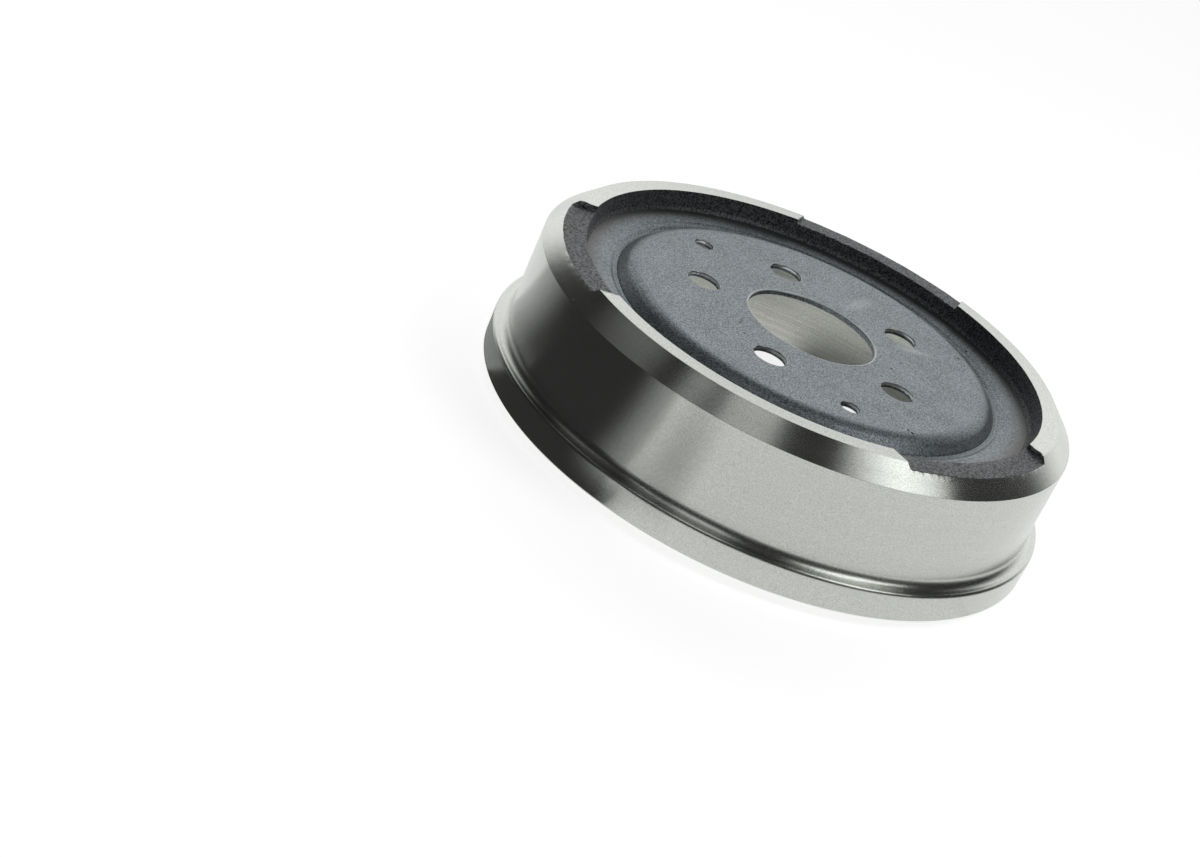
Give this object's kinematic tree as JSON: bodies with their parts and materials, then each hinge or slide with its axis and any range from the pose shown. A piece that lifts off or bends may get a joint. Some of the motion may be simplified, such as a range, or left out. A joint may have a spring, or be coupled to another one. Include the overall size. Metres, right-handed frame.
{
  "type": "brake drum",
  "caption": "Composite drum: pressed steel web cast into a machined iron friction ring, with a centre bore, wheel bolt holes, cast crown pockets and a grooved lip at the open end.",
  "frame": {"origin": "on the axis, in the plane of the ring's open end, which the drum stands on", "axes": "+Z along the axis towards the wheel side; +X through one wheel bolt hole"},
  "size_m": [0.2853, 0.2854, 0.0768],
  "materials": {
    "ring_iron": "turned bright, rough as cast in the well and pockets",
    "web_steel": "shot-blasted dark grey sheet"
  },
  "bodies": {
    "root": {"friction_ring": "ring_iron", "web_disc": "web_steel"}
  },
  "joints": []
}
